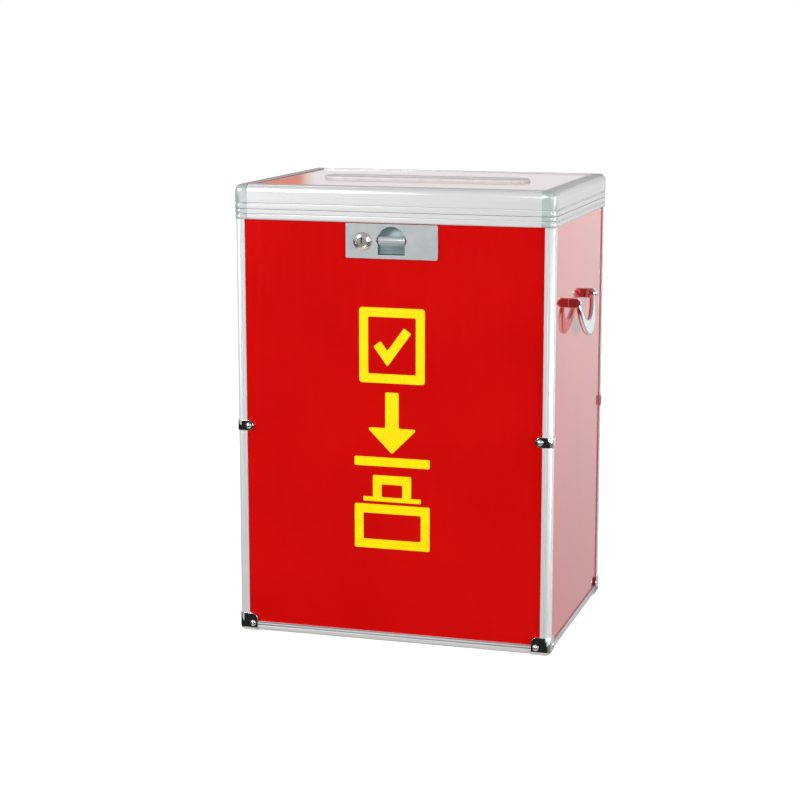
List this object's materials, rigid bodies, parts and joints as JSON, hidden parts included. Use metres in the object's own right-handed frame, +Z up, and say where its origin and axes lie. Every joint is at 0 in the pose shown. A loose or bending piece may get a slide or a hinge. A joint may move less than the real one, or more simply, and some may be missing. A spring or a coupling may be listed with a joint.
{
  "type": "ballot box",
  "caption": "Tall box of glossy boards in metal edge profiles, with a hinged lid frame that has a ballot slot, a lock plate with a finger latch, and bail handles on its sides.",
  "frame": {"origin": "on the floor under the centre of the box, at the plane on which the bottom caps stand", "axes": "+Z up, -Y out of the front with the lock, +X to the right as seen from the front"},
  "size_m": [0.4608, 0.3381, 0.602],
  "materials": {
    "red_board": "glossy red film on a stiff board",
    "edge_aluminium": "fine satin anodised extrusion",
    "rim_aluminium": "satin anodised extrusion with shadow grooves",
    "cap_chrome": "bright plated pressing",
    "corner_grey": "moulded grey plastic",
    "lock_grey": "moulded light grey plastic",
    "lock_chrome": "polished plating",
    "latch_pale": "moulded pale grey plastic",
    "slot_pale": "pale grey moulding with rounded edges",
    "handle_chrome": "bright plated casting",
    "steel": "zinc plated steel"
  },
  "bodies": {
    "case": {"front_panel": "red_board", "back_panel": "red_board", "left_panel": "red_board", "right_panel": "red_board", "bottom_panel": "red_board", "post_front_left": "edge_aluminium", "post_front_right": "edge_aluminium", "post_back_left": "edge_aluminium", "post_back_right": "edge_aluminium", "bottom_rail_front": "edge_aluminium", "bottom_rail_right": "edge_aluminium", "bottom_rail_back": "edge_aluminium", "bottom_rail_left": "edge_aluminium", "bottom_cap_front_left": "cap_chrome", "bottom_cap_front_right": "cap_chrome", "bottom_cap_back_left": "cap_chrome", "bottom_cap_back_right": "cap_chrome", "mid_clip_front_left": "cap_chrome", "mid_clip_front_right": "cap_chrome", "mid_clip_back_left": "cap_chrome", "mid_clip_back_right": "cap_chrome", "corner_rivets": "steel", "rim_front": "rim_aluminium", "rim_right": "rim_aluminium", "rim_back": "rim_aluminium", "rim_left": "rim_aluminium", "rim_corner_front_left": "corner_grey", "rim_corner_front_right": "corner_grey", "rim_corner_back_left": "corner_grey", "rim_corner_back_right": "corner_grey", "hinge_body_leaves": "steel", "hinge_pins": "steel", "body_hinge_rivets": "steel", "lock_plate": "lock_grey", "finger_cup": "lock_grey", "lock_cylinder": "lock_chrome", "lock_nut": "steel", "handle_ears_right": "handle_chrome", "handle_ears_left": "handle_chrome", "handle_screws": "steel"},
    "lid": {"lid_rail_front": "rim_aluminium", "lid_rail_right": "rim_aluminium", "lid_rail_back": "rim_aluminium", "lid_rail_left": "rim_aluminium", "lid_corner_front_left": "corner_grey", "lid_corner_front_right": "corner_grey", "lid_corner_back_left": "corner_grey", "lid_corner_back_right": "corner_grey", "lid_panel": "red_board", "slot_surround": "slot_pale", "slot_clamp_ring": "corner_grey", "hinge_lid_leaves": "steel", "lid_strike": "steel", "lid_rivets": "steel"},
    "key_plug": {"lock_plug": "lock_chrome", "lock_cam": "steel"},
    "latch": {"latch_paddle": "latch_pale", "latch_hooks": "steel"},
    "bail_r": {"bail_right": "handle_chrome"},
    "bail_l": {"bail_left": "handle_chrome"}
  },
  "joints": [
    {"name": "lid_hinge", "type": "hinge", "parent": "case", "child": "lid", "pos_m": [0, 0.1675, 0.5682], "axis": [-1, 0, 0], "range_deg": [0, 100]},
    {"name": "key_turn", "type": "hinge", "parent": "case", "child": "key_plug", "pos_m": [-0.0385, -0.1604, 0.5313], "axis": [0, -1, 0], "range_deg": [0, 90]},
    {"name": "latch_press", "type": "hinge", "parent": "case", "child": "latch", "pos_m": [0, -0.1573, 0.5321], "axis": [1, 0, 0], "range_deg": [0, 20], "stiffness_Nm_per_rad": 0.25, "springref_deg": -11.46},
    {"name": "bail_right_swing", "type": "hinge", "parent": "case", "child": "bail_r", "pos_m": [0.2206, -0.01, 0.4482], "axis": [0, -1, 0], "range_deg": [0, 82]},
    {"name": "bail_left_swing", "type": "hinge", "parent": "case", "child": "bail_l", "pos_m": [-0.2206, -0.01, 0.4482], "axis": [0, 1, 0], "range_deg": [0, 82]}
  ]
}
